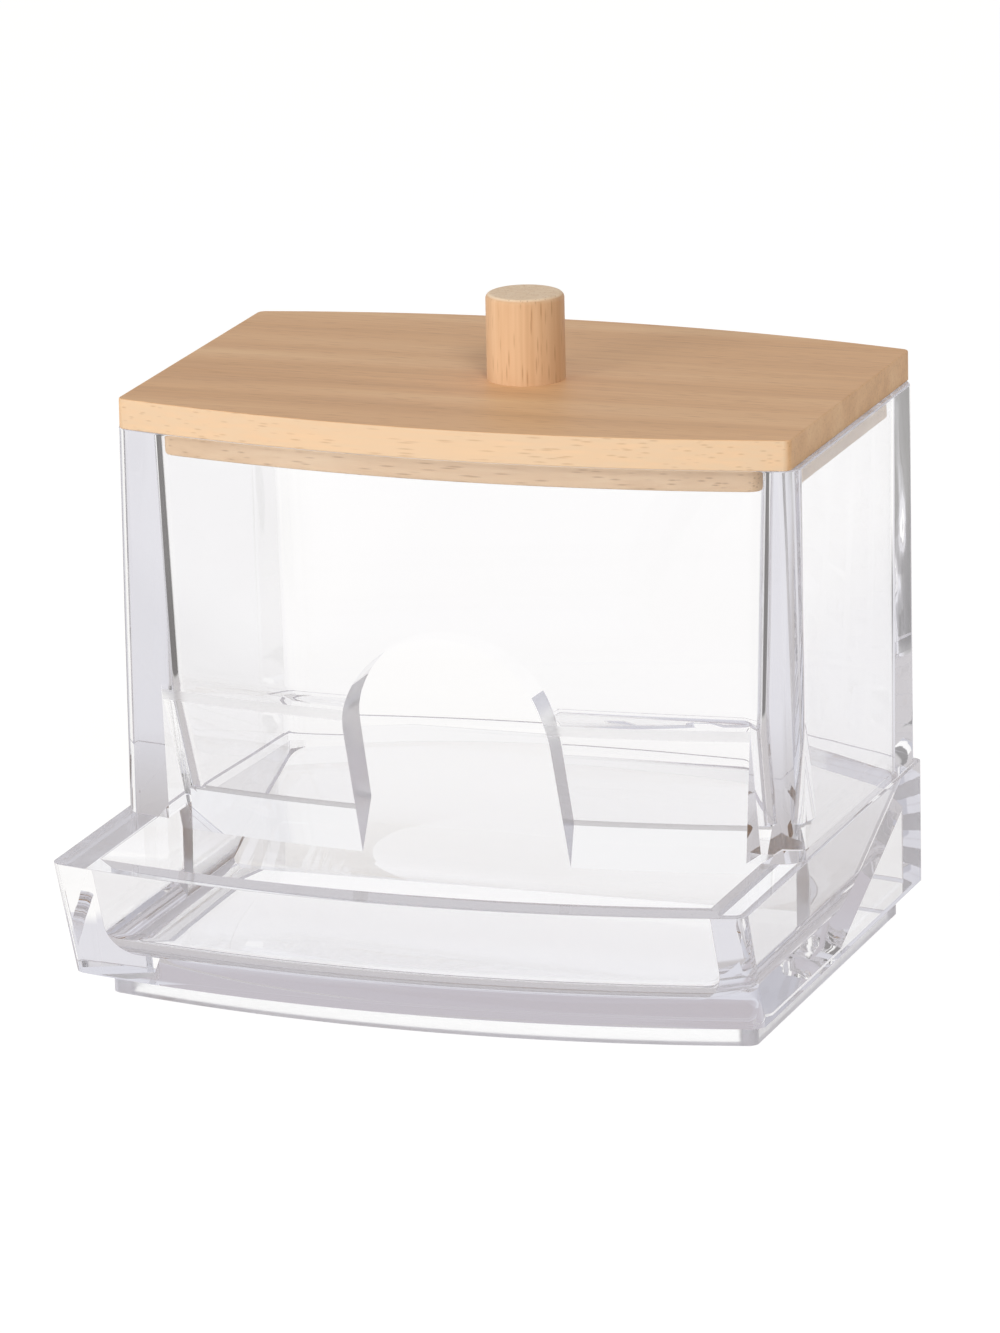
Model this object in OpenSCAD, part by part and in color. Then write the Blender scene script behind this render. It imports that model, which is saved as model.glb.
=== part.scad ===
// Cotton swab dispenser: a clear hopper with a finger arch stands in a clear tray
// with a sloping floor, under a bamboo lid that lifts off by its knob.
// The origin is on the table, under the middle of the tray. The front faces -Y.

/* [Hopper] */
// Width of the hopper over its side walls
hopper_w = 92; // [76:1:120]
// Depth of the hopper along its side walls
hopper_d = 51; // [42:1:80]
// How far the front and back walls bow out at the middle
bow = 5.8; // [3:0.1:8]
// Height of the hopper's upper rim above the table
hopper_top = 72; // [58:1:110]
// Thickness of the side walls at the upper rim
side_wall = 4.8; // [3.5:0.1:6]
// Thickness of the front and back walls at the upper rim
end_wall = 5; // [3:0.1:6]
// Radius of the upright outer corners
corner_r = 3; // [0.5:0.1:4]

/* [Front panel] */
// Height at which the front wall bends inward
bend_z = 38; // [32:1:42]
// Thickness of the front wall at the bend
bend_wall = 6.4; // [4:0.1:8]
// Lean of the bent panel's outer face, degrees from upright
panel_lean = 20.5; // [10:0.5:24]
// Thickness of the panel at its lower inner edge, measured level
panel_wall = 5.9; // [5:0.1:8]
// Height of the panel's lower front edge above the table
panel_foot_z = 17; // [15:0.5:20]
// Height of the panel's lower inner edge above its lower front edge
panel_bevel = 6.5; // [2:0.5:7]

/* [Finger arch] */
// Radius of the round top of the arch
arch_r = 14; // [10:0.1:18]
// Height of the arch's crown above the table
arch_top_z = 48.5; // [44:0.5:54]
// How far each flank of the arch opens from its spring down to the table
arch_splay = 0.4; // [0:0.1:2]

/* [Tray] */
// Height of the tray's rim above the table
rim_z = 20.7; // [18:0.1:24]
// Width of the rim along the sides and the back
rim_w = 5.5; // [5:0.1:7]
// How far the tray stands out past the hopper at the sides and the back
ledge = 0.5; // [0.3:0.1:1.5]
// How far the rim's front corners stand out past the hopper's front corners
tray_reach = 25; // [20:1:36]
// Width of the rim along the front
front_rim_w = 4.6; // [4:0.1:7]
// Lean of the tray's front wall, degrees from upright
tray_lean = 22; // [10:1:26]
// Thickness of the tray's floor and ramp
floor_t = 4; // [3:0.1:5]
// Slope of the ramp that the swabs roll down, degrees
ramp_slope = 22; // [16:1:28]
// Height of the ramp's upper edge above the table, at the back corners
ramp_top_z = 19; // [16:0.5:20]
// Radius of the round between the trough's floor and its sides
trough_r = 4; // [1:0.5:6]
// Radius of the round between the trough's floor and its front wall
trough_front_r = 5; // [2:0.5:7]

/* [Foot] */
// Height of the inset foot under the tray
foot_h = 4.2; // [2:0.1:6]
// How far the foot stands back from the tray's sides and back
foot_inset = 2.8; // [2:0.1:6]
// How far the foot stands back from the lower edge of the tray's front wall
foot_step = 6.4; // [2:0.1:8]
// Width of the foot's bearing ring
foot_ring = 2.6; // [2:0.1:4]

/* [Tongues between hopper and tray] */
// Thickness of the tongues that reach down inside the tray
tongue_t = 1.6; // [1.2:0.1:3]
// Gap round the tongues
tongue_gap = 0.15; // [0.1:0.05:0.3]

/* [Lid] */
// How far the lid's ends stand back from the hopper's side walls
lid_margin = 0.7; // [0:0.1:2]
// How far the lid stands out past the hopper's front and back walls
lid_over = 0.2; // [0:0.1:1]
// Thickness of the lid board
lid_t = 4; // [3:0.1:6]
// Thickness of the plug board under the lid
plug_t = 3.8; // [2.5:0.1:6]
// Gap between the plug and the hopper's walls
plug_gap = 0.5; // [0.3:0.1:1.5]
// Radius of the lid board's corners
lid_corner_r = 1.2; // [0.5:0.1:3]
// Radius of the plug board's corners
plug_corner_r = 3; // [0.5:0.1:5]
// Diameter of the knob
knob_d = 10.2; // [8:0.1:16]
// Height of the knob above the lid
knob_h = 11.3; // [10:0.1:20]
// How far the knob stands to the right of the lid's middle
knob_right = 2; // [-4:0.1:4]
// How far the knob stands in front of the lid's middle
knob_forward = 1.7; // [-4:0.1:4]
// Rounding of the knob's upper edge
knob_round = 0.7; // [0.3:0.1:1.5]

/* [Knob screw] */
// Diameter of the screw's shank
screw_d = 3; // [2.5:0.1:4]
// Diameter of the screw's countersunk head
screw_head_d = 6; // [5:0.1:7.5]
// How far the screw reaches into the knob
screw_grip = 8; // [5:0.5:9]
// Width of the slot across the screw's head
screw_slot_w = 0.9; // [0.6:0.1:1.2]
// Depth of the slot across the screw's head
screw_slot_h = 0.8; // [0.5:0.1:1]
// Gap between the screw and the holes it passes
screw_gap = 0.1; // [0.05:0.05:0.3]

/* [Hidden] */
$fn = 96;

// Extra length for cuts that run right through a face
cut = 1;
// How deep a corner's round is set, as a share of its radius, so that it crosses both faces
round_share = 0.985;
// Length that reaches past the whole part in plan
far = 6 * (hopper_w + hopper_d);

// Radius of the bowed walls, from the hopper's width and its bow
wall_r = (pow(hopper_w / 2, 2) + bow * bow) / (2 * bow);

// Middle of the bowed faces in Y, before the part is centred
hopper_front = -hopper_d / 2 - bow;
hopper_back = hopper_d / 2 + bow;
tray_front = hopper_front - tray_reach;
tray_back = hopper_back + ledge;
centre_y = -(tray_front + tray_back) / 2;

// Axes of the bowed walls
front_axis = hopper_front + wall_r;
back_axis = hopper_back - wall_r;
tray_axis = tray_front + wall_r;

// How far the panel's two lower edges lie behind the upright front wall's outer face
panel_in_z = panel_foot_z + panel_bevel;
panel_shift = (bend_z - panel_foot_z) * tan(panel_lean);
panel_in_shift = (bend_z - panel_in_z) * tan(panel_lean) + panel_wall;

// Half widths: the tray's outside and inside, the tongues, and inside the hopper
tray_half = hopper_w / 2 + ledge;
trough_half = tray_half - rim_w;
tongue_half = trough_half - tongue_gap;
inner_low = tongue_half - tongue_t;
inner_top = hopper_w / 2 - side_wall;

// Floor of the trough, and the line along which the ramp starts and ends
floor_z = foot_h + floor_t;
ramp_end = hopper_d / 2 + ledge - rim_w;
ramp_start = ramp_end - (ramp_top_z - floor_z) / tan(ramp_slope);

// How far the lower edge of the tray's front wall lies behind the rim
foot_shift = (rim_z - foot_h) * tan(tray_lean);
// Radius of the trough's front wall at the rim, round the same axis as the outer face
trough_front = wall_r - front_rim_w;

// Lid heights, and the plug's half width and front inside the hopper's drafted walls
lid_top = hopper_top + lid_t;
plug_low = hopper_top - plug_t;
draft = (inner_top - inner_low) / (hopper_top - rim_z);
plug_half = inner_top - draft * plug_t - plug_gap;
plug_front = end_wall + plug_gap + plug_t * (bend_wall - end_wall) / (hopper_top - bend_z);
screw_head_h = (screw_head_d - screw_d) / 2;

// Upright block of the given half width between two heights
module slab(half_w, z0, z1) {
    translate([-half_w, -far / 2, z0]) cube([2 * half_w, far, z1 - z0]);
}

// Upright post on the middle plane, the solid behind a bowed wall
module post(axis_y, r, z0, z1) {
    translate([0, axis_y, z0]) cylinder(r = r, h = z1 - z0);
}

// Solid behind a bowed wall whose face leans, from radius r0 below to r1 above
module leaning_post(axis_y, r0, r1, z0, z1) {
    translate([0, axis_y, z0]) cylinder(r1 = r0, r2 = r1, h = z1 - z0);
}

// Outline with straight sides, bowed ends and round corners
module barrel(half_w, front, back, r, round_r) {
    in = round_share * round_r;
    corner_x = half_w - in;
    corner_y = sqrt(pow(r - in, 2) - pow(corner_x, 2));
    touch_x = corner_x * r / (r - in);
    difference() {
        intersection() {
            translate([-half_w, front - cut]) square([2 * half_w, back - front + 2 * cut]);
            translate([0, front + r]) circle(r);
            translate([0, back - r]) circle(r);
        }
        for (side = [0, 1], end = [0, 1]) {
            mirror([side, 0]) difference() {
                translate([touch_x, end * (back - r + corner_y) + (1 - end) * (front - cut)])
                    square([half_w, r - corner_y + cut]);
                translate([corner_x, end * (back - r + corner_y) + (1 - end) * (front + r - corner_y)])
                    circle(round_r);
            }
        }
    }
}

// A front view drawn in X and Z, carried right through the part along Y
module through_y() {
    rotate([90, 0, 0]) linear_extrude(far, center = true) children();
}

// A side view drawn in Y and Z, carried across the part to the given half width
module across_x(half_w) {
    rotate([90, 0, 90]) linear_extrude(2 * half_w, center = true) children();
}

// Side view of all that lies above the ramp and the trough's floor, lifted by a gap
module above_ramp(lift) {
    rise = floor_z + lift;
    top = hopper_top + cut;
    ramp_far = (far / 2 - ramp_start) * tan(ramp_slope);
    polygon([
        [-far / 2, rise], [ramp_start, rise], [far / 2, rise + ramp_far],
        [far / 2, top + ramp_far], [-far / 2, top + ramp_far]
    ]);
}

// Room between the hopper's side walls, which thicken downward; it runs out through the front
module between_sides() {
    intersection() {
        through_y() polygon([
            [-inner_low, 0], [inner_low, 0], [inner_low, rim_z],
            [inner_top, hopper_top], [inner_top, hopper_top + cut],
            [-inner_top, hopper_top + cut], [-inner_top, hopper_top], [-inner_low, rim_z]
        ]);
        post(back_axis, wall_r - end_wall, 0, hopper_top + cut);
    }
}

// Block of the given half width round the front wall only
module front_block(half_w, z0, z1) {
    translate([-half_w, hopper_front - cut, z0]) cube([2 * half_w, hopper_d / 2, z1 - z0]);
}

// Front wall: upright above, then bent inward, with its foot bevelled to let swabs roll out
module front_wall() {
    intersection() {
        translate([0, front_axis, 0]) rotate_extrude($fn = 360) polygon([
            [wall_r - end_wall, hopper_top], [wall_r - bend_wall, bend_z],
            [wall_r - panel_in_shift, panel_in_z],
            [wall_r - panel_shift, panel_foot_z], [wall_r, bend_z], [wall_r, hopper_top]
        ]);
        union() {
            front_block(tongue_half, floor_z, rim_z);
            front_block(hopper_w / 2 - side_wall / 2, rim_z, hopper_top + cut);
        }
    }
}

// Front view of the trough, with rounds along the floor's sides, drawn in by a gap
module trough_outline(gap) {
    half = trough_half - gap;
    low = floor_z + gap;
    r = trough_r - gap;
    translate([-half, low + r]) square([2 * half, rim_z]);
    translate([r - half, low]) square([2 * (half - r), rim_z]);
    for (x = [r - half, half - r]) {
        translate([x, low + r]) circle(r);
    }
}

// Tongues that stand inside the tray on its ramp and floor, below the side walls
module tongues() {
    intersection() {
        through_y() trough_outline(tongue_gap);
        post(front_axis, wall_r - panel_shift, 0, rim_z);
        post(back_axis, wall_r + ledge - rim_w - tongue_gap, 0, rim_z);
        across_x(hopper_w) above_ramp(tongue_gap);
    }
}

// Finger arch: a round crown over flanks that open towards the foot
module arch() {
    spring_z = arch_top_z - arch_r;
    translate([0, hopper_front - cut, 0]) rotate([90, 0, 0])
    translate([0, 0, -hopper_d / 2]) linear_extrude(hopper_d / 2 + cut) {
        translate([0, spring_z]) circle(arch_r);
        polygon([
            [-arch_r, spring_z], [-arch_r - arch_splay, 0],
            [arch_r + arch_splay, 0], [arch_r, spring_z]
        ]);
    }
}

module hopper() {
    color([0.86, 0.9, 0.93, 0.45])
    translate([0, centre_y, 0])
    difference() {
        union() {
            difference() {
                union() {
                    translate([0, 0, rim_z]) linear_extrude(hopper_top - rim_z)
                        barrel(hopper_w / 2, hopper_front, hopper_back, wall_r, corner_r);
                    tongues();
                }
                between_sides();
            }
            front_wall();
        }
        arch();
    }
}

// Section of the room behind the trough's leaning front wall, round where it meets the floor
module trough_front_section() {
    in = round_share * trough_front_r;
    middle_z = floor_z + in;
    middle_r = trough_front - (rim_z - middle_z) * tan(tray_lean) - in / cos(tray_lean);
    out = 3 * trough_front_r;
    difference() {
        polygon([
            [0, 0], [trough_front - rim_z * tan(tray_lean), 0],
            [trough_front + cut * tan(tray_lean), rim_z + cut], [0, rim_z + cut]
        ]);
        translate([middle_r, middle_z]) difference() {
            polygon([[0, 0], [0, -out], [out, -out], [out * cos(tray_lean), -out * sin(tray_lean)]]);
            circle(trough_front_r);
        }
    }
}

// Room inside the tray: the trough in front, and the space above the ramp behind it
module trough() {
    intersection() {
        through_y() trough_outline(0);
        translate([0, tray_axis, 0]) rotate_extrude($fn = 360) trough_front_section();
        post(back_axis, wall_r + ledge - rim_w, 0, rim_z + cut);
        across_x(hopper_w) above_ramp(0);
    }
}

// Plan of the foot, stepped in from the tray's walls and then by the given width
module foot_block(ring, z0, z1) {
    intersection() {
        slab(tray_half - foot_inset - ring, z0, z1);
        post(tray_axis, wall_r - foot_shift - foot_step - ring, z0, z1);
        post(back_axis, wall_r + ledge - foot_inset - ring, z0, z1);
    }
}

// Hollow under the tray: shallow below the trough, rising under the ramp
module underside() {
    difference() {
        foot_block(foot_ring, -cut, rim_z);
        translate([0, 0, -floor_t / cos(ramp_slope)]) across_x(hopper_w) above_ramp(0);
    }
}

module tray() {
    color([0.84, 0.88, 0.92, 0.45])
    translate([0, centre_y, 0])
    difference() {
        union() {
            intersection() {
                slab(tray_half, foot_h, rim_z);
                leaning_post(tray_axis, wall_r - foot_shift, wall_r, foot_h, rim_z);
                post(back_axis, wall_r + ledge, foot_h, rim_z);
            }
            foot_block(0, 0, foot_h);
        }
        trough();
        underside();
    }
}

module lid_board() {
    color([0.84, 0.68, 0.5])
    translate([0, centre_y, hopper_top])
    difference() {
        linear_extrude(lid_t) barrel(hopper_w / 2 - lid_margin, hopper_front - lid_over,
            hopper_back + lid_over, wall_r + lid_over, lid_corner_r);
        translate([knob_right, -knob_forward, -cut])
            cylinder(d = screw_d + 2 * screw_gap, h = lid_t + 2 * cut);
    }
}

module lid_plug() {
    inset = end_wall + plug_gap;
    color([0.8, 0.62, 0.43])
    translate([0, centre_y, plug_low])
    difference() {
        linear_extrude(plug_t) barrel(plug_half, hopper_front + plug_front, hopper_back - inset,
            wall_r - inset, plug_corner_r);
        translate([knob_right, -knob_forward, 0]) {
            translate([0, 0, -cut]) cylinder(d = screw_d + 2 * screw_gap, h = plug_t + 2 * cut);
            cylinder(d1 = screw_head_d + 2 * screw_gap, d2 = screw_d + 2 * screw_gap, h = screw_head_h);
        }
    }
}

module knob() {
    r = knob_d / 2;
    color([0.87, 0.7, 0.52])
    translate([knob_right, centre_y - knob_forward, lid_top])
    difference() {
        union() {
            cylinder(r = r, h = knob_h - knob_round);
            cylinder(r = r - knob_round, h = knob_h);
            translate([0, 0, knob_h - knob_round]) rotate_extrude()
                translate([r - knob_round, 0]) circle(knob_round);
        }
        translate([0, 0, -cut]) cylinder(d = screw_d + 2 * screw_gap, h = screw_grip + cut + screw_gap);
    }
}

module knob_screw() {
    color("silver")
    translate([knob_right, centre_y - knob_forward, plug_low])
    difference() {
        union() {
            cylinder(d1 = screw_head_d, d2 = screw_d, h = screw_head_h);
            cylinder(d = screw_d, h = plug_t + lid_t + screw_grip);
        }
        translate([-screw_head_d, -screw_slot_w / 2, -cut])
            cube([2 * screw_head_d, screw_slot_w, screw_slot_h + cut]);
    }
}

tray();
hopper();
lid_board();
lid_plug();
knob();
knob_screw();
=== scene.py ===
import math

import bmesh
import bpy
from mathutils import Matrix, Vector


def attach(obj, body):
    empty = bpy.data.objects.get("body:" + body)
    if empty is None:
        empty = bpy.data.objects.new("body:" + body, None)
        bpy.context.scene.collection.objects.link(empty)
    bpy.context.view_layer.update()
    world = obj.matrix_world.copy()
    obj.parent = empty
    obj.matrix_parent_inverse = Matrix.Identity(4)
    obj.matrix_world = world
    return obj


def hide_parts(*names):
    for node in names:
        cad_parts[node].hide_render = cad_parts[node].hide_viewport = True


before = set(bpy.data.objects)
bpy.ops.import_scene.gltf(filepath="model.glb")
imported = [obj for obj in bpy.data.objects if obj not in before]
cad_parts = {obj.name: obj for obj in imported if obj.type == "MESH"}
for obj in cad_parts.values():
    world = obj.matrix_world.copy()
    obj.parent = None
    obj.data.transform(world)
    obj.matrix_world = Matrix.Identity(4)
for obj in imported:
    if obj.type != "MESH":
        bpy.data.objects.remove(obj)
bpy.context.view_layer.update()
scene = bpy.context.scene
MM = 0.001

# Sizes in millimetres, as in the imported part
HOPPER_W = 92.0
HOPPER_D = 51.0
BOW = 5.8
HOPPER_TOP = 72.0
SIDE_WALL = 4.8
END_WALL = 5.0
CORNER_R = 3.0
BEND_Z = 38.0
BEND_WALL = 6.4
PANEL_LEAN = math.tan(math.radians(20.5))
PANEL_WALL = 5.9
PANEL_FOOT_Z = 17.0
PANEL_BEVEL = 6.5
ARCH_R = 14.0
ARCH_TOP_Z = 48.5
ARCH_SPLAY = 0.4
RIM_Z = 20.7
RIM_W = 5.5
LEDGE = 0.5
TRAY_REACH = 25.0
FRONT_RIM_W = 4.6
TRAY_LEAN = math.radians(22.0)
FLOOR_T = 4.0
RAMP_SLOPE = math.radians(22.0)
RAMP_TOP_Z = 19.0
TROUGH_R = 4.0
TROUGH_FRONT_R = 5.0
FOOT_H = 4.2
FOOT_INSET = 2.8
FOOT_STEP = 6.4
FOOT_RING = 2.6
TONGUE_T = 1.6
TONGUE_GAP = 0.15
LID_MARGIN = 0.7
LID_OVER = 0.2
LID_T = 4.0
LID_CORNER_R = 1.2
PLUG_T = 3.8
PLUG_GAP = 0.5
PLUG_CORNER_R = 3.0
KNOB_RIGHT = 2.0
KNOB_FORWARD = 1.7
SCREW_HOLE_D = 3.2
SCREW_SINK_D = 6.2

# Rounds that only the look has
EDGE_ROUND = 0.45
LID_ROUND = 0.35
PLUG_ROUND = 0.3
TOP_ROUND = 0.25
INNER_ROUND = 3.0
BEND_SOFT = 1.5
PANEL_EDGE_ROUND = 1.0
TRAY_FRONT_ROUND = 2.0
TRAY_BACK_ROUND = 1.2
TONGUE_ROUND = 0.3
FOOT_ROUND = 1.5
HOLLOW_ROUND = 1.0

# Half the glue line between the mouldings
SEAM = 0.02

# Finishes of the clear plastic, as places in a moulding's list of materials; the last is matt and
# tinted grey, a painted dark line of shade
POLISHED = 0
FAINT = 1
SOFT = 2
PAINTED_DARK_EDGE = 3

# How near to a face or an edge a point counts as part of it
RIM_NEAR = 0.1
ARCH_NEAR = 0.25
BEND_NEAR = 0.05
BEND_DEPTH = 1.0
PANEL_EDGE_NEAR = 0.5
FOOT_NEAR = 0.05
TOP_NEAR = 0.4

# Limits for cleaning and shading a mesh after its cuts
MERGE_DIST = 0.12
SLIVER_DIST = 0.02
FLAT_TURN = math.radians(0.15)
ROUNDED_TURN = math.radians(28.0)
SHARP_TURN = math.radians(32.0)
SHADING_WEIGHT = 60

# Derived places
WALL_R = ((HOPPER_W / 2) ** 2 + BOW ** 2) / (2 * BOW)
CENTRE_Y = (TRAY_REACH - LEDGE) / 2
HOPPER_FRONT = CENTRE_Y - HOPPER_D / 2 - BOW
HOPPER_BACK = CENTRE_Y + HOPPER_D / 2 + BOW
TRAY_FRONT = HOPPER_FRONT - TRAY_REACH
FRONT_AXIS = HOPPER_FRONT + WALL_R
BACK_AXIS = HOPPER_BACK - WALL_R
TRAY_AXIS = TRAY_FRONT + WALL_R
TRAY_HALF = HOPPER_W / 2 + LEDGE
TRAY_BACK_R = WALL_R + LEDGE
TROUGH_HALF = TRAY_HALF - RIM_W
TONGUE_HALF = TROUGH_HALF - TONGUE_GAP
INNER_LOW = TONGUE_HALF - TONGUE_T
INNER_TOP = HOPPER_W / 2 - SIDE_WALL
DRAFT = (INNER_TOP - INNER_LOW) / (HOPPER_TOP - RIM_Z)
PANEL_IN_Z = PANEL_FOOT_Z + PANEL_BEVEL
PANEL_IN_SHIFT = (BEND_Z - PANEL_IN_Z) * PANEL_LEAN + PANEL_WALL
FLOOR_Z = FOOT_H + FLOOR_T
RAMP_END = CENTRE_Y + HOPPER_D / 2 + LEDGE - RIM_W
RAMP_START = RAMP_END - (RAMP_TOP_Z - FLOOR_Z) / math.tan(RAMP_SLOPE)
ARCH_SPRING_Z = ARCH_TOP_Z - ARCH_R
ARCH_CROWN_Z = BEND_Z + 3.0
TONGUE_SIDE_X = 38.0

# Reach of the cutting tools; plain numbers added further down only carry a tool past a face
FAR = 90.0
ROOM_REACH = 85.0
WALL_REACH = 58.0
ARCH_REACH = 20.0

# Steps along a bowed wall and round each kind of curve
ARC_STEPS = 40
CORNER_STEPS = 12
WALL_STEPS = 64
ARCH_STEPS = 48
HOLE_STEPS = 32
TROUGH_STEPS = 10
BEND_STEPS = 6
TOP_STEPS = 3
EDGE_STEPS = 3


def arc_y(x, axis, r, side):
    """Y of a bowed wall at x: side -1 is the front of the circle, 1 its back."""
    return axis + side * math.sqrt(r * r - x * x)


def steps(low, high, count):
    """Evenly spaced values from low to high, both included."""
    return [low + (high - low) * i / count for i in range(count + 1)]


def corner(half, r, round_r):
    """Middle of a corner's round from the wall's axis, where it meets the wall, and its turn."""
    x = half - round_r
    reach = math.sqrt((r - round_r) ** 2 - x * x)
    return x, reach, x * r / (r - round_r), math.pi / 2 - math.asin(x / (r - round_r))


def turned(x, y, r, start, stop):
    """Points of a corner's round."""
    return [(x + r * math.cos(a), y + r * math.sin(a)) for a in steps(start, stop, CORNER_STEPS)]


def barrel(half, front, back, front_round, back_round):
    """Outline with straight sides, bowed ends given as axis and radius, and round corners."""
    fx, f_reach, f_touch, f_turn = corner(half, front[1], front_round)
    bx, b_reach, b_touch, b_turn = corner(half, back[1], back_round)
    fy = front[0] - f_reach
    by = back[0] + b_reach
    points = [(x, arc_y(x, *front, -1)) for x in steps(-f_touch, f_touch, ARC_STEPS)[1:-1]]
    points += turned(fx, fy, front_round, -f_turn, 0.0)
    points += turned(bx, by, back_round, 0.0, b_turn)
    points += [(x, arc_y(x, *back, 1)) for x in steps(b_touch, -b_touch, ARC_STEPS)[1:-1]]
    points += turned(-bx, by, back_round, math.pi - b_turn, math.pi)
    points += turned(-fx, fy, front_round, math.pi, math.pi + f_turn)
    return points


def solid(rings):
    """Closed solid through rings of points that all have the same count."""
    shape = bmesh.new()
    loops = [[shape.verts.new(Vector(p) * MM) for p in ring] for ring in rings]
    count = len(rings[0])
    for lower, upper in zip(loops, loops[1:]):
        for i in range(count):
            j = (i + 1) % count
            shape.faces.new((lower[i], lower[j], upper[j], upper[i]))
    shape.faces.new(loops[0][::-1])
    shape.faces.new(loops[-1])
    bmesh.ops.recalc_face_normals(shape, faces=shape.faces)
    mesh = bpy.data.meshes.new("solid")
    shape.to_mesh(mesh)
    shape.free()
    made = bpy.data.objects.new("solid", mesh)
    scene.collection.objects.link(made)
    return made


def level(outline, z):
    """Outline in X and Y at one height."""
    return [(x, y, z) for x, y in outline]


def upright(outline, low, high):
    """Outline in X and Y between two heights."""
    return solid([level(outline, low), level(outline, high)])


def along_y(outline, low=-FAR, high=FAR):
    """Outline in X and Z carried along Y."""
    return solid([[(x, y, z) for x, z in outline] for y in (low, high)])


def along_x(outline, half=FAR):
    """Outline in Y and Z carried along X."""
    return solid([[(x, y, z) for y, z in outline] for x in (-half, half)])


def swept(profile, axis, half_angle, count):
    """Profile of (radius, height) swept round an upright axis, over the front of the part."""
    rings = []
    for a in steps(-half_angle, half_angle, count):
        rings.append([(r * math.sin(a), axis - r * math.cos(a), z) for r, z in profile])
    return solid(rings)


def combine(base, tool, how):
    """Boolean of two solids; the tool is used up."""
    step = base.modifiers.new("step", "BOOLEAN")
    step.operation = how
    step.solver = "EXACT"
    step.object = tool
    bpy.context.view_layer.update()
    graph = bpy.context.evaluated_depsgraph_get()
    mesh = bpy.data.meshes.new_from_object(base.evaluated_get(graph))
    base.modifiers.clear()
    base.data = mesh
    bpy.data.objects.remove(tool)
    return base


def above_ramp(lift):
    """Side view of the space above the trough's floor and the ramp."""
    low = FLOOR_Z + lift
    rise = (FAR - RAMP_START) * math.tan(RAMP_SLOPE)
    points = [(-FAR, low), (RAMP_START, low), (FAR, low + rise)]
    return points + [(FAR, low + FAR + rise), (-FAR, low + FAR)]


def trough_outline(gap, top):
    """Front view of the trough with rounds along the floor's sides."""
    half = TROUGH_HALF - gap
    r = TROUGH_R - gap
    middle_z = FLOOR_Z + gap + r
    points = [(-half, top)]
    points += turned(r - half, middle_z, r, math.pi, math.pi * 3 / 2)
    points += turned(half - r, middle_z, r, -math.pi / 2, 0.0)
    points.append((half, top))
    return points


def glued(p):
    """True for a point of the glue line, where the hopper's foot stands on the tray's rim."""
    front = arc_y(p.x, FRONT_AXIS, WALL_R, -1) - RIM_NEAR
    back = arc_y(p.x, BACK_AXIS, WALL_R, 1) + RIM_NEAR
    at_rim = abs(p.z - RIM_Z) < RIM_NEAR
    return at_rim and abs(p.x) < HOPPER_W / 2 + RIM_NEAR and front < p.y < back


def on_arch(p):
    """True for a point of the finger arch's own face."""
    if p.z > ARCH_SPRING_Z:
        off = math.hypot(p.x, p.z - ARCH_SPRING_Z) - ARCH_R
    else:
        off = abs(p.x) - ARCH_R - ARCH_SPLAY * (1 - p.z / ARCH_SPRING_Z)
    return abs(off) < ARCH_NEAR and p.y < CENTRE_Y


def from_axis(p):
    """Distance of a point from the front wall's axis."""
    return math.hypot(p.x, p.y - FRONT_AXIS)


def on_bend(p):
    """True for a point of the lower half of the front wall's outer bend."""
    in_height = -BEND_SOFT - BEND_NEAR < p.z - BEND_Z < BEND_NEAR
    return in_height and from_axis(p) > WALL_R - BEND_DEPTH


def on_panel_edge(p):
    """True for a point of the round at the panel's lower inner edge."""
    off = math.hypot(from_axis(p) - WALL_R + PANEL_IN_SHIFT, p.z - PANEL_IN_Z)
    return off < PANEL_EDGE_NEAR


def hopper_crisp(p):
    """True for a point on an edge of the hopper that gets no further round."""
    return glued(p) or p.z > HOPPER_TOP - TOP_NEAR


def hopper_finish(face):
    """Which finish a face of the hopper has."""
    points = [v.co / MM for v in face.verts]
    if all(glued(p) for p in points):
        return FAINT
    # The round at the panel's lower inner edge is matt, with a grey tint that paints a dark line of
    # shade
    if all(on_panel_edge(p) for p in points):
        return PAINTED_DARK_EDGE
    if all(on_arch(p) for p in points):
        crown = all(p.z > ARCH_CROWN_Z for p in points)
        return FAINT if crown else SOFT
    tongue = all(p.z < RIM_Z + RIM_NEAR for p in points)
    outer = all(abs(p.x) > TONGUE_SIDE_X for p in points)
    faces_front = face.normal.y < -0.5
    faces_down = face.normal.z < -0.3
    if tongue and (faces_down or (faces_front and outer)):
        return SOFT
    return SOFT if all(on_bend(p) for p in points) else POLISHED


def tray_finish(face):
    """Which finish a face of the tray has."""
    points = [v.co / MM for v in face.verts]
    if all(glued(p) for p in points):
        return FAINT
    stands = abs(face.normal.z) < 0.3
    foot_wall = stands and all(p.z < FOOT_H + FOOT_NEAR for p in points)
    return SOFT if foot_wall else POLISHED


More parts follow.
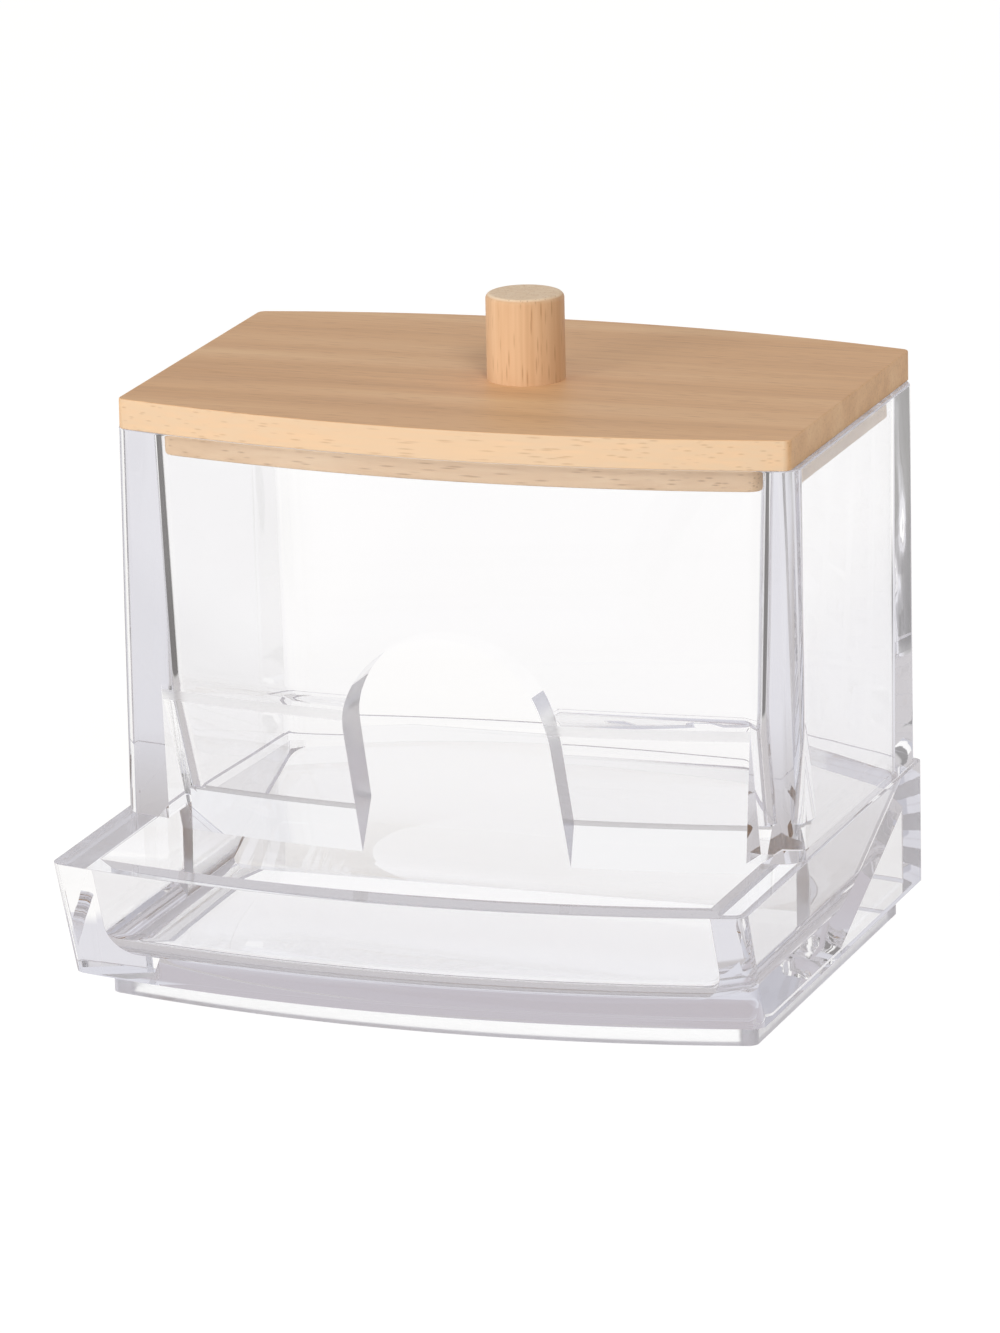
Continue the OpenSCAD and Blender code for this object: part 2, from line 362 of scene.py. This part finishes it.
def finish_mesh(piece, name, width, crisp=None, finish=None):
    """Merges split flat faces, rounds the sharp edges but the crisp ones, and shades smooth."""
    shape = bmesh.new()
    shape.from_mesh(piece.data)
    bmesh.ops.remove_doubles(shape, verts=shape.verts, dist=MERGE_DIST * MM)
    bmesh.ops.dissolve_degenerate(shape, edges=shape.edges, dist=SLIVER_DIST * MM)
    if finish:
        shape.normal_update()
        for face in shape.faces:
            face.material_index = finish(face)
    bmesh.ops.dissolve_limit(
        shape,
        angle_limit=FLAT_TURN,
        verts=shape.verts,
        edges=shape.edges,
        delimit={"MATERIAL"},
    )
    joined = [e for e in shape.edges if e.is_manifold]
    sharp = [e for e in joined if e.calc_face_angle(0.0) > ROUNDED_TURN]
    if crisp:
        sharp = [e for e in sharp if not all(crisp(v.co / MM) for v in e.verts)]
    bmesh.ops.bevel(
        shape,
        geom=sharp,
        offset=width * MM,
        offset_type="OFFSET",
        segments=EDGE_STEPS,
        profile=0.5,
        affect="EDGES",
        clamp_overlap=True,
        miter_outer="ARC",
    )
    bmesh.ops.recalc_face_normals(shape, faces=shape.faces)
    for face in shape.faces:
        face.smooth = True
    mesh = bpy.data.meshes.new(name)
    shape.to_mesh(mesh)
    shape.free()
    mesh.set_sharp_from_angle(angle=SHARP_TURN)
    piece.data = mesh
    piece.name = name
    weighted = piece.modifiers.new("even_shading", "WEIGHTED_NORMAL")
    weighted.keep_sharp = True
    weighted.weight = SHADING_WEIGHT
    return piece


def soft_bend(z, above, below):
    """Line through 0 at the bend, with one slope above it, one below, and a round between."""
    up = z - BEND_Z
    if abs(up) < BEND_SOFT:
        away = (up * up + BEND_SOFT * BEND_SOFT) / (2 * BEND_SOFT)
    else:
        away = abs(up)
    return (above + below) / 2 * up + (above - below) / 2 * away


def front_wall_inside(z):
    """How far the front wall's inner face lies behind its upright outer face."""
    above = (END_WALL - BEND_WALL) / (HOPPER_TOP - BEND_Z)
    below = (BEND_WALL - PANEL_IN_SHIFT) / (BEND_Z - PANEL_IN_Z)
    return BEND_WALL + soft_bend(z, above, below)


def panel_outside(z):
    """Radius of the bent panel's outer face, carried on above the bend."""
    return WALL_R - (BEND_Z - z) * PANEL_LEAN


def inner_half(z):
    """Half width between the drafted side walls."""
    return INNER_LOW + DRAFT * max(0.0, z - RIM_Z)


def open_front(half, back_r, round_r):
    """Outline of the hopper's room, round at the back and running out through the front."""
    x, reach, touch, turn = corner(half, back_r, round_r)
    points = [(-half, -ROOM_REACH), (half, -ROOM_REACH)]
    points += turned(x, BACK_AXIS + reach, round_r, 0.0, turn)
    points += [(x, arc_y(x, BACK_AXIS, back_r, 1)) for x in steps(touch, -touch, ARC_STEPS)[1:-1]]
    points += turned(-x, BACK_AXIS + reach, round_r, math.pi - turn, math.pi)
    return points


def rounded(before, point, after, r, count):
    """Arc that rounds one corner of a profile."""
    point = Vector(point)
    to_before = (Vector(before) - point).normalized()
    to_after = (Vector(after) - point).normalized()
    half = to_before.angle(to_after) / 2
    middle = point + (to_before + to_after).normalized() * r / math.sin(half)
    start = point + to_before * r / math.tan(half) - middle
    stop = point + to_after * r / math.tan(half) - middle
    arc = []
    for share in steps(0.0, 1.0, count):
        arc.append(middle + start.slerp(stop, share) * r)
    return [(p.x, p.y) for p in arc]


def front_wall_profile():
    """Section of the front wall as radius and height, with a soft bend and a round inner edge."""
    top = HOPPER_TOP + 5.0
    bend = steps(BEND_Z + BEND_SOFT, BEND_Z - BEND_SOFT, BEND_STEPS)
    inside = [(WALL_R - front_wall_inside(z), z) for z in [top] + bend]
    edge = (WALL_R - PANEL_IN_SHIFT, PANEL_IN_Z)
    foot = (panel_outside(PANEL_FOOT_Z), PANEL_FOOT_Z)
    # The outer bend stands a hair proud, so that it crosses the upright face
    proud = WALL_R + 0.01
    outside = [(proud - soft_bend(z, 0.0, -PANEL_LEAN), z) for z in reversed(bend)]
    outside += [(WALL_R + 5.0, BEND_Z + 5.0), (WALL_R + 5.0, top)]
    edge_round = rounded(inside[-1], edge, foot, PANEL_EDGE_ROUND, BEND_STEPS)
    return inside + edge_round + [foot] + outside


def front_fillet(side):
    """Round of one inner corner between side wall and front wall, followed down the panel."""
    bend = steps(BEND_Z - BEND_SOFT, BEND_Z + BEND_SOFT, BEND_STEPS)
    rings = []
    for z in [PANEL_IN_Z] + bend + [HOPPER_TOP + 3.0]:
        half = inner_half(z)
        r = WALL_R - front_wall_inside(z)
        x, reach, touch, turn = corner(half, r, INNER_ROUND)
        y = FRONT_AXIS - reach
        ring = turned(x, y, INNER_ROUND, -turn, 0.0)
        ring += [(half + 1.0, y), (half + 1.0, y - 3.5), (touch, y - 3.5)]
        rings.append([(side * px, py, z) for px, py in ring])
    return solid(rings)


def make_hopper():
    """Hopper with its bent front wall, its finger arch and the tongues inside the tray."""
    heights = [(RIM_Z + SEAM, 0.0)]
    for a in steps(0.0, math.pi / 2, TOP_STEPS):
        z = HOPPER_TOP - SEAM - TOP_ROUND * (1 - math.sin(a))
        heights.append((z, TOP_ROUND * (1 - math.cos(a))))
    outline = []
    for z, inset in heights:
        front = (FRONT_AXIS, WALL_R - inset)
        back = (BACK_AXIS, WALL_R - inset)
        round_r = CORNER_R - inset
        outline.append(level(barrel(HOPPER_W / 2 - inset, front, back, round_r, round_r), z))
    body = solid(outline)
    # Tongues that reach down inside the tray, as one block before the room is cut out
    tongue_back = (BACK_AXIS, WALL_R + LEDGE - RIM_W - TONGUE_GAP)
    rings = []
    for z in (2.0, PANEL_FOOT_Z, RIM_Z + 2.0):
        tongue_front = (FRONT_AXIS, panel_outside(max(z, PANEL_FOOT_Z)) + 0.05)
        tongue = barrel(TONGUE_HALF, tongue_front, tongue_back, TONGUE_ROUND, TONGUE_ROUND)
        rings.append(level(tongue, z))
    block = solid(rings)
    block = combine(block, along_y(trough_outline(TONGUE_GAP, FAR)), "INTERSECT")
    block = combine(block, along_x(above_ramp(TONGUE_GAP)), "INTERSECT")
    body = combine(body, block, "UNION")
    # Room between the side walls, less the front wall, its bent panel and the rounds beside it
    rings = []
    for z in (-5.0, RIM_Z, HOPPER_TOP + 3.0):
        rings.append(level(open_front(inner_half(z), WALL_R - END_WALL, INNER_ROUND), z))
    room = solid(rings)
    wall = swept(front_wall_profile(), FRONT_AXIS, math.asin(WALL_REACH / WALL_R), WALL_STEPS)
    room = combine(room, wall, "DIFFERENCE")
    for side in (-1, 1):
        room = combine(room, front_fillet(side), "DIFFERENCE")
    body = combine(body, room, "DIFFERENCE")
    # Finger arch
    arch = [(ARCH_R + ARCH_SPLAY, 0.0)]
    for a in steps(0.0, math.pi, ARCH_STEPS):
        arch.append((ARCH_R * math.cos(a), ARCH_SPRING_Z + ARCH_R * math.sin(a)))
    arch.append((-ARCH_R - ARCH_SPLAY, 0.0))
    cutter = along_y(arch, HOPPER_FRONT - ARCH_REACH, HOPPER_FRONT + ARCH_REACH)
    body = combine(body, cutter, "DIFFERENCE")
    return finish_mesh(body, "hopper_moulding", EDGE_ROUND, hopper_crisp, hopper_finish)


def trough_front():
    """Heights and radii of the trough's front wall, round where it meets the floor."""
    r = TROUGH_FRONT_R
    lean = math.tan(TRAY_LEAN)
    middle_z = FLOOR_Z + r
    inner = WALL_R - FRONT_RIM_W
    middle_r = inner - (RIM_Z - middle_z) * lean - r / math.cos(TRAY_LEAN)
    places = [(FLOOR_Z - 2.0, middle_r)]
    for a in steps(0.0, math.pi / 2 - TRAY_LEAN, TROUGH_STEPS):
        places.append((middle_z - r * math.cos(a), middle_r + r * math.sin(a)))
    places.append((RIM_Z + 4.0, inner + 4.0 * lean))
    return places


def tray_block(half, back_r, places, front_round, back_round):
    """Block of the tray between its bowed faces; the front radius is given for each height."""
    back = (BACK_AXIS, back_r)
    rings = []
    for z, front_r in places:
        front = (TRAY_AXIS, front_r)
        rings.append(level(barrel(half, front, back, front_round, back_round), z))
    return solid(rings)


def make_tray():
    """Tray with its trough, its ramp, and an inset foot that is hollow below."""
    low_r = WALL_R - (RIM_Z - FOOT_H) * math.tan(TRAY_LEAN)
    places = [(FOOT_H, low_r), (RIM_Z - SEAM, WALL_R)]
    body = tray_block(TRAY_HALF, TRAY_BACK_R, places, TRAY_FRONT_ROUND, TRAY_BACK_ROUND)
    inset = FOOT_INSET
    foot_r = low_r - FOOT_STEP
    places = [(0.0, foot_r), (FOOT_H + 1.0, foot_r)]
    foot = tray_block(TRAY_HALF - inset, TRAY_BACK_R - inset, places, FOOT_ROUND, FOOT_ROUND)
    body = combine(body, foot, "UNION")
    # Room in the tray: the trough in front and the space above the ramp
    room_half = TROUGH_HALF + 8.0
    room_back = TRAY_BACK_R - RIM_W
    room = tray_block(room_half, room_back, trough_front(), TONGUE_ROUND, TONGUE_ROUND)
    room = combine(room, along_y(trough_outline(0.0, FAR)), "INTERSECT")
    room = combine(room, along_x(above_ramp(0.0)), "INTERSECT")
    body = combine(body, room, "DIFFERENCE")
    # Hollow under the tray, rising under the ramp
    inset = FOOT_INSET + FOOT_RING
    hollow_r = foot_r - FOOT_RING
    places = [(-2.0, hollow_r), (RIM_Z, hollow_r)]
    hollow = tray_block(TRAY_HALF - inset, TRAY_BACK_R - inset, places, HOLLOW_ROUND, HOLLOW_ROUND)
    kept = along_x(above_ramp(-FLOOR_T / math.cos(RAMP_SLOPE)))
    hollow = combine(hollow, kept, "DIFFERENCE")
    body = combine(body, hollow, "DIFFERENCE")
    # Mark of the hopper's outline on the rim, which parts the glued faces from the bare ones
    outline = barrel(HOPPER_W / 2, (FRONT_AXIS, WALL_R), (BACK_AXIS, WALL_R), CORNER_R, CORNER_R)
    mark = upright(outline, RIM_Z - SEAM - 0.02, RIM_Z + 5.0)
    body = combine(body, mark, "DIFFERENCE")
    return finish_mesh(body, "tray_moulding", EDGE_ROUND, glued, tray_finish)


def make_board(name, half, front_inset, back_inset, round_r, low, high, width, sink):
    """Lid board with its screw hole, and a countersink from below where asked."""
    bow_r = WALL_R - back_inset
    front_bow = (FRONT_AXIS - back_inset + front_inset, bow_r)
    back_bow = (BACK_AXIS, bow_r)
    board = upright(barrel(half, front_bow, back_bow, round_r, round_r), low, high)
    ring = [i * math.tau / HOLE_STEPS for i in range(HOLE_STEPS)]
    hole_y = CENTRE_Y - KNOB_FORWARD

    def disc(r, z):
        return [(KNOB_RIGHT + r * math.cos(a), hole_y + r * math.sin(a), z) for a in ring]

    r = SCREW_HOLE_D / 2
    hole = solid([disc(r, low - 1.0), disc(r, high + 1.0)])
    board = combine(board, hole, "DIFFERENCE")
    if sink:
        wide = SCREW_SINK_D / 2
        deep = wide - r
        cone = solid([disc(wide + 0.5, low - 0.5), disc(r - 0.2, low + deep + 0.2)])
        board = combine(board, cone, "DIFFERENCE")
    return finish_mesh(board, name, width)


WHITE = (1.0, 1.0, 1.0)
BLACK = (0.0, 0.0, 0.0)


class Nodes:
    """Shorthand for building a node tree."""

    def __init__(self, name, owner=None):
        self.owner = owner or bpy.data.materials.new(name)
        self.owner.use_nodes = True
        self.tree = self.owner.node_tree
        self.tree.nodes.clear()

    def add(self, kind, sockets=None, **settings):
        """New node with its settings and the values of its input sockets."""
        node = self.tree.nodes.new(kind)
        for key, value in settings.items():
            setattr(node, key, value)
        for key, value in (sockets or {}).items():
            node.inputs[key].default_value = value
        return node

    def link(self, source, target):
        self.tree.links.new(source, target)

    def math(self, how, a, b=None):
        """Result of one operation on numbers or sockets."""
        node = self.add("ShaderNodeMath", operation=how)
        for socket, value in zip(node.inputs, (a, b)):
            if isinstance(value, (int, float)):
                socket.default_value = value
            elif value is not None:
                self.link(value, socket)
        return node.outputs[0]

    def ramp(self, factor, stops):
        """Colour that runs through the stops, each a place and a colour."""
        node = self.add("ShaderNodeValToRGB")
        while len(node.color_ramp.elements) < len(stops):
            node.color_ramp.elements.new(0.5)
        for element, (place, colour) in zip(node.color_ramp.elements, stops):
            element.position = place
            element.color = (*colour, 1.0)
        self.link(factor, node.inputs[0])
        return node.outputs[0]

    def blend(self, factor, a, b, how="MIX"):
        """Colour a where the factor is 0 and b where it is 1; each is a colour or a socket."""
        node = self.add("ShaderNodeMix", data_type="RGBA", blend_type=how)
        self.link(factor, node.inputs["Factor"])
        for key, value in (("A", a), ("B", b)):
            if isinstance(value, tuple):
                node.inputs[key].default_value = (*value, 1.0)
            else:
                self.link(value, node.inputs[key])
        return node.outputs["Result"]


def clear_plastic(name, tint, ior, rough):
    """Clear moulded plastic, very slightly wavy; lamps shine through to what it holds."""
    n = Nodes(name)
    out = n.add("ShaderNodeOutputMaterial")
    shader = n.add("ShaderNodeBsdfPrincipled", {
        "Base Color": (*tint, 1.0),
        "Roughness": rough,
        "IOR": ior,
        "Transmission Weight": 1.0,
    })
    place = n.add("ShaderNodeTexCoord")
    wave = n.add("ShaderNodeTexNoise", {"Scale": 60.0, "Detail": 1.0})
    n.link(place.outputs["Object"], wave.inputs["Vector"])
    bump = n.add("ShaderNodeBump", {"Strength": 0.06, "Distance": 0.0004})
    n.link(wave.outputs["Fac"], bump.inputs["Height"])
    n.link(bump.outputs["Normal"], shader.inputs["Normal"])
    path = n.add("ShaderNodeLightPath")
    clear = n.add("ShaderNodeBsdfTransparent", {"Color": (0.94, 0.95, 0.97, 1.0)})
    mix = n.add("ShaderNodeMixShader")
    n.link(path.outputs["Is Shadow Ray"], mix.inputs["Fac"])
    n.link(shader.outputs["BSDF"], mix.inputs[1])
    n.link(clear.outputs["BSDF"], mix.inputs[2])
    n.link(mix.outputs["Shader"], out.inputs["Surface"])
    return n.owner


def bamboo(name, along, stops, streak, pale_axis=None, pale_and_lit_colour=None):
    """Bamboo with its fibres along one axis: long bands, fine fibres and short dark bundles."""
    n = Nodes(name)
    out = n.add("ShaderNodeOutputMaterial")
    shader = n.add("ShaderNodeBsdfPrincipled")
    place = n.add("ShaderNodeTexCoord")

    def texture(kind, across, length, sockets):
        """Texture drawn out along the fibres; across and length are features per metre."""
        scale = [across, across, across]
        scale["XYZ".index(along)] = length
        stretch = n.add("ShaderNodeMapping", {"Scale": scale})
        n.link(place.outputs["Object"], stretch.inputs["Vector"])
        node = n.add(kind, {"Scale": 1.0, **sockets})
        n.link(stretch.outputs["Vector"], node.inputs["Vector"])
        return node

    band = texture("ShaderNodeTexNoise", 160.0, 8.0, {"Detail": 3.0}).outputs["Fac"]
    fibre = texture("ShaderNodeTexNoise", 1500.0, 40.0, {"Detail": 4.0}).outputs["Fac"]
    bundle = texture("ShaderNodeTexVoronoi", 2200.0, 200.0, {}).outputs["Distance"]
    spots = n.ramp(bundle, [(0.1, WHITE), (0.3, BLACK)])
    grain = n.math("ADD", n.math("MULTIPLY", band, 0.65), n.math("MULTIPLY", fibre, 0.35))
    colour = n.ramp(grain, stops)
    if pale_axis:
        # Paler wood on the faces across one axis; on the knob's top it is also a painted highlight of
        # the light from above
        shape = n.add("ShaderNodeNewGeometry")
        parts = n.add("ShaderNodeSeparateXYZ")
        n.link(shape.outputs["Normal"], parts.inputs["Vector"])
        facing = n.math("ABSOLUTE", parts.outputs[pale_axis])
        across = n.ramp(facing, [(0.6, BLACK), (0.9, WHITE)])
        share = n.math("MULTIPLY", across, n.math("SUBTRACT", 1.4, fibre))
        colour = n.blend(share, colour, pale_and_lit_colour)
    flecks = n.math("MULTIPLY", spots, streak)
    colour = n.blend(flecks, colour, (0.55, 0.42, 0.32), "MULTIPLY")
    n.link(colour, shader.inputs["Base Color"])
    rough = n.math("ADD", n.math("MULTIPLY", fibre, 0.2), 0.42)
    n.link(rough, shader.inputs["Roughness"])
    bump = n.add("ShaderNodeBump", {"Strength": 0.25, "Distance": 0.0001})
    relief = n.math("SUBTRACT", fibre, n.math("MULTIPLY", spots, 0.5))
    n.link(relief, bump.inputs["Height"])
    n.link(bump.outputs["Normal"], shader.inputs["Normal"])
    n.link(shader.outputs["BSDF"], out.inputs["Surface"])
    return n.owner


def zinc():
    """Zinc plated steel with a fine uneven grey."""
    n = Nodes("screw_steel")
    out = n.add("ShaderNodeOutputMaterial")
    shader = n.add("ShaderNodeBsdfPrincipled", {"Metallic": 1.0})
    place = n.add("ShaderNodeTexCoord")
    noise = n.add("ShaderNodeTexNoise", {"Scale": 900.0})
    n.link(place.outputs["Object"], noise.inputs["Vector"])
    mottle = noise.outputs["Fac"]
    colour = n.ramp(mottle, [(0.3, (0.5, 0.5, 0.5)), (0.7, (0.66, 0.66, 0.64))])
    n.link(colour, shader.inputs["Base Color"])
    rough = n.math("ADD", n.math("MULTIPLY", mottle, 0.2), 0.25)
    n.link(rough, shader.inputs["Roughness"])
    n.link(shader.outputs["BSDF"], out.inputs["Surface"])
    return n.owner


def dress(piece, *materials):
    """Gives a piece its materials in order."""
    # An empty list stays as it is: clearing would reset the finish of each face
    if piece.data.materials:
        piece.data.materials.clear()
    for material in materials:
        piece.data.materials.append(material)


# Painted shade of the floor and the surroundings, seen only in reflections
PALE_SHADE = (0.72, 0.72, 0.78)
# A painted shadow on the floor near the object, seen only in reflections
NEAR_SHADOW = (0.5, 0.48, 0.5)
OVERHEAD_SHADE = (0.56, 0.53, 0.57)
SIDE_SHADE = (0.5, 0.5, 0.56)
SHADE = (0.06, 0.06, 0.07)


def seen_directly(n, path):
    """1 for what the camera sees, directly or by way of the plastic."""
    seen = n.math("MAXIMUM", path.outputs["Is Camera Ray"], path.outputs["Is Glossy Ray"])
    return n.math("MAXIMUM", seen, path.outputs["Is Transmission Ray"])


def mirrored(n, path):
    """1 for what the camera sees by a reflection."""
    return n.math("GREATER_THAN", path.outputs["Glossy Depth"], 0.5)


def floor_material():
    """White floor that keeps the shadow; in reflections it shows painted shade: grey, darker near the
    object, and dark at each side.
    """
    n = Nodes("floor_white")
    out = n.add("ShaderNodeOutputMaterial")
    path = n.add("ShaderNodeLightPath")
    plain = n.add("ShaderNodeBsdfDiffuse", {"Color": (0.8, 0.8, 0.8, 1.0)})
    shaded = n.add("ShaderNodeBsdfDiffuse", {"Color": (0.22, 0.22, 0.22, 1.0)})
    place = n.add("ShaderNodeTexCoord")
    split = n.add("ShaderNodeSeparateXYZ")
    n.link(place.outputs["Object"], split.inputs["Vector"])
    aside = n.math("ABSOLUTE", split.outputs["X"])
    ahead = n.math("ABSOLUTE", split.outputs["Y"])
    # Painted shade seen only in reflections: a painted shadow near the object, pale grey further out,
    # white beyond
    colour = n.ramp(ahead, [(0.075, NEAR_SHADOW), (0.115, PALE_SHADE), (0.28, PALE_SHADE), (0.32, WHITE)])
    colour = n.blend(n.ramp(aside, [(0.095, BLACK), (0.115, WHITE)]), colour, WHITE)
    # Painted dark shade at each side of the object, seen only in reflections
    beside = n.ramp(aside, [(0.095, BLACK), (0.12, WHITE)])
    within = n.ramp(ahead, [(0.14, WHITE), (0.165, BLACK)])
    colour = n.blend(n.math("MULTIPLY", beside, within), colour, SHADE)
    glow = n.add("ShaderNodeEmission", {"Strength": 0.9})
    n.link(n.blend(mirrored(n, path), WHITE, colour), glow.inputs["Color"])
    both = n.add("ShaderNodeAddShader")
    n.link(shaded.outputs["BSDF"], both.inputs[0])
    n.link(glow.outputs["Emission"], both.inputs[1])
    mix = n.add("ShaderNodeMixShader")
    n.link(seen_directly(n, path), mix.inputs["Fac"])
    n.link(plain.outputs["BSDF"], mix.inputs[1])
    n.link(both.outputs["Shader"], mix.inputs[2])
    n.link(mix.outputs["Shader"], out.inputs["Surface"])
    return n.owner


def studio_world():
    """White surroundings with plain light; in reflections they show painted shade, grey at the sides
    and overhead.
    """
    scene.world = bpy.data.worlds.new("studio")
    n = Nodes("studio", scene.world)
    out = n.add("ShaderNodeOutputWorld")
    path = n.add("ShaderNodeLightPath")
    place = n.add("ShaderNodeTexCoord")
    split = n.add("ShaderNodeSeparateXYZ")
    n.link(place.outputs["Generated"], split.inputs["Vector"])
    aside = n.math("ABSOLUTE", split.outputs["X"])
    # Painted shade seen only in reflections: grey towards the sides, dimmer overhead
    colour = n.ramp(aside, [(0.6, PALE_SHADE), (0.95, SIDE_SHADE)])
    heights = [(0.32, BLACK), (0.45, WHITE), (0.68, WHITE), (0.78, BLACK)]
    colour = n.blend(n.ramp(split.outputs["Z"], heights), colour, OVERHEAD_SHADE)
    seen = n.add("ShaderNodeBackground")
    n.link(n.blend(mirrored(n, path), WHITE, colour), seen.inputs["Color"])
    light = n.add("ShaderNodeBackground", {"Color": (1.0, 0.91, 0.78, 1.0), "Strength": 0.44})
    mix = n.add("ShaderNodeMixShader")
    n.link(seen_directly(n, path), mix.inputs["Fac"])
    n.link(light.outputs["Background"], mix.inputs[1])
    n.link(seen.outputs["Background"], mix.inputs[2])
    n.link(mix.outputs["Shader"], out.inputs["Surface"])


def softbox(name, place, aim, width, power):
    """Square lamp that lights the object and isn't seen in it."""
    lamp = bpy.data.lights.new(name, "AREA")
    lamp.shape = "SQUARE"
    lamp.size = width
    lamp.energy = power
    made = bpy.data.objects.new(name, lamp)
    made.location = place
    made.visible_glossy = False
    made.visible_transmission = False
    made.rotation_euler = (Vector(aim) - Vector(place)).to_track_quat("-Z", "Y").to_euler()
    scene.collection.objects.link(made)


# Materials
plastic = clear_plastic("clear_plastic", tint=(0.99, 0.99, 0.994), ior=1.49, rough=0.0)
faint = clear_plastic("faint_face", tint=(0.99, 0.99, 0.995), ior=1.0, rough=0.0)
soft_edge = clear_plastic("soft_edge", tint=WHITE, ior=1.49, rough=0.3)
# Matt plastic tinted grey: painted shade that draws the dark line along the panel's lower inner edge
painted_dark_edge = clear_plastic("painted_dark_edge", tint=(0.5, 0.48, 0.49), ior=1.49, rough=0.4)
face_stops = [(0.3, (0.71, 0.42, 0.22)), (0.5, (0.84, 0.53, 0.295)), (0.7, (0.93, 0.64, 0.39))]
edge_stops = [(0.3, (0.7, 0.46, 0.27)), (0.5, (0.82, 0.58, 0.37)), (0.7, (0.9, 0.68, 0.46))]
knob_stops = [(0.3, (0.48, 0.27, 0.14)), (0.5, (0.68, 0.43, 0.25)), (0.7, (0.8, 0.55, 0.35))]

# Pieces
hopper = make_hopper()
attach(hopper, "base")
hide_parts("hopper")
dress(hopper, plastic, faint, soft_edge, painted_dark_edge)

tray = make_tray()
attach(tray, "base")
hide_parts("tray")
dress(tray, plastic, faint, soft_edge)

lid = make_board(
    "lid_top_board",
    half=HOPPER_W / 2 - LID_MARGIN,
    front_inset=-LID_OVER,
    back_inset=-LID_OVER,
    round_r=LID_CORNER_R,
    low=HOPPER_TOP,
    high=HOPPER_TOP + LID_T,
    width=LID_ROUND,
    sink=False,
)
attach(lid, "lid")
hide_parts("lid_board")
dress(lid, bamboo("bamboo_face", "X", face_stops, 0.36, "Y", (0.75, 0.55, 0.37)))

plug_back = END_WALL + PLUG_GAP
plug_front = plug_back + PLUG_T * (BEND_WALL - END_WALL) / (HOPPER_TOP - BEND_Z)
plug = make_board(
    "lid_plug_board",
    half=INNER_TOP - DRAFT * PLUG_T - PLUG_GAP,
    front_inset=plug_front,
    back_inset=plug_back,
    round_r=PLUG_CORNER_R,
    low=HOPPER_TOP - PLUG_T,
    high=HOPPER_TOP,
    width=PLUG_ROUND,
    sink=True,
)
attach(plug, "lid")
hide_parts("lid_plug")
dress(plug, bamboo("bamboo_edge", "X", edge_stops, 0.6))

# The knob's top is the pale end grain, made paler still by a painted highlight of light from above
knob_wood = bamboo("bamboo_turned", "Z", knob_stops, 0.5, "Z", (0.98, 0.8, 0.6))
dress(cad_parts["knob"], knob_wood)
dress(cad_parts["knob_screw"], zinc())

# Floor, just under the foot, and light
FLOOR_HALF = 3.0
FLOOR_DROP = 0.0001
floor_mesh = bpy.data.meshes.new("floor")
floor_corners = [(x * FLOOR_HALF, y * FLOOR_HALF, 0.0) for x, y in ((-1, -1), (1, -1), (1, 1), (-1, 1))]
floor_mesh.from_pydata(floor_corners, [], [(0, 1, 2, 3)])
floor = bpy.data.objects.new("floor", floor_mesh)
scene.collection.objects.link(floor)
floor.location.z = -FLOOR_DROP
dress(floor, floor_material())
studio_world()
softbox("key_light", place=(-0.5, -1.0, 0.2), aim=(0.0, 0.0, 0.06), width=0.4, power=7.2)
softbox("fill_light", place=(0.6, -0.9, 0.9), aim=(0.0, 0.0, 0.05), width=0.35, power=4.6)

# Camera at the photograph's viewing angle
AZIMUTH = math.radians(19.61)
ELEVATION = math.radians(15.09)
ROLL = math.radians(-1.17)
TARGET = Vector((-3.03, CENTRE_Y, 36.55)) * MM
DISTANCE = 1206.0 * MM
FOCAL_PIXELS = 9238.0
IMAGE_HEIGHT = 1333.0
SENSOR = 36.0
level_x = math.sin(AZIMUTH) * math.cos(ELEVATION)
level_y = -math.cos(AZIMUTH) * math.cos(ELEVATION)
backward = Vector((level_x, level_y, math.sin(ELEVATION)))
sideways = Vector((math.cos(AZIMUTH), math.sin(AZIMUTH), 0.0))
upward = backward.cross(sideways)
camera_x = sideways * math.cos(ROLL) + upward * math.sin(ROLL)
camera_y = upward * math.cos(ROLL) - sideways * math.sin(ROLL)
camera_data = bpy.data.cameras.new("camera")
camera_data.lens = FOCAL_PIXELS / IMAGE_HEIGHT * SENSOR
camera_data.sensor_width = SENSOR
camera_data.clip_start = 0.05
camera = bpy.data.objects.new("camera", camera_data)
turn = Matrix((camera_x, camera_y, backward)).transposed().to_4x4()
camera.matrix_world = Matrix.Translation(TARGET + backward * DISTANCE) @ turn
scene.collection.objects.link(camera)
scene.camera = camera

# Light passes many faces of the clear plastic
BOUNCES = 128
scene.view_settings.view_transform = "Standard"
scene.cycles.max_bounces = BOUNCES
scene.cycles.transmission_bounces = BOUNCES
scene.cycles.glossy_bounces = BOUNCES
